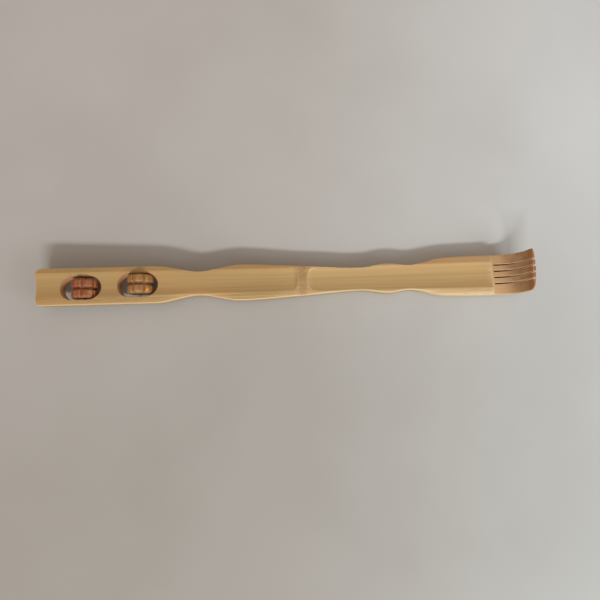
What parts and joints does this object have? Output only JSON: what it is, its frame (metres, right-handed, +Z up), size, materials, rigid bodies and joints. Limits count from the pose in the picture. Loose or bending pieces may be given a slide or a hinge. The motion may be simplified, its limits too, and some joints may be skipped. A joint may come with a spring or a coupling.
{
  "type": "bamboo back scratcher with massage rollers",
  "caption": "Back scratcher cut from a strip of bamboo, with a bent slit hand and toothed wooden massage rollers turning in slots of its handle.",
  "frame": {"origin": "on the table under the middle of the object's box, as it lies hollow side up", "axes": "+X from the tail to the bent hand, +Z up out of the hollow side, so -Y is the side that is nearer in the picture"},
  "size_m": [0.47, 0.039, 0.0339],
  "materials": {
    "bamboo": "bamboo split from the culm, planed on its rims, thinly lacquered",
    "dark_wood": "turned reddish wood, waxed",
    "light_wood": "turned tan wood, waxed",
    "steel": "plain drawn wire"
  },
  "bodies": {
    "scratcher": {"bamboo_strip": "bamboo", "rear_axle": "steel", "front_axle": "steel"},
    "rear_wheel": {"rear_roller": "dark_wood"},
    "front_wheel": {"front_roller": "light_wood"}
  },
  "joints": [
    {"name": "rear_roller_spin", "type": "hinge", "parent": "scratcher", "child": "rear_wheel", "pos_m": [-0.19088, 0, 0.0124], "axis": [0, 1, 0], "continuous": true},
    {"name": "front_roller_spin", "type": "hinge", "parent": "scratcher", "child": "front_wheel", "pos_m": [-0.13744, 0, 0.0124], "axis": [0, 1, 0], "continuous": true}
  ]
}
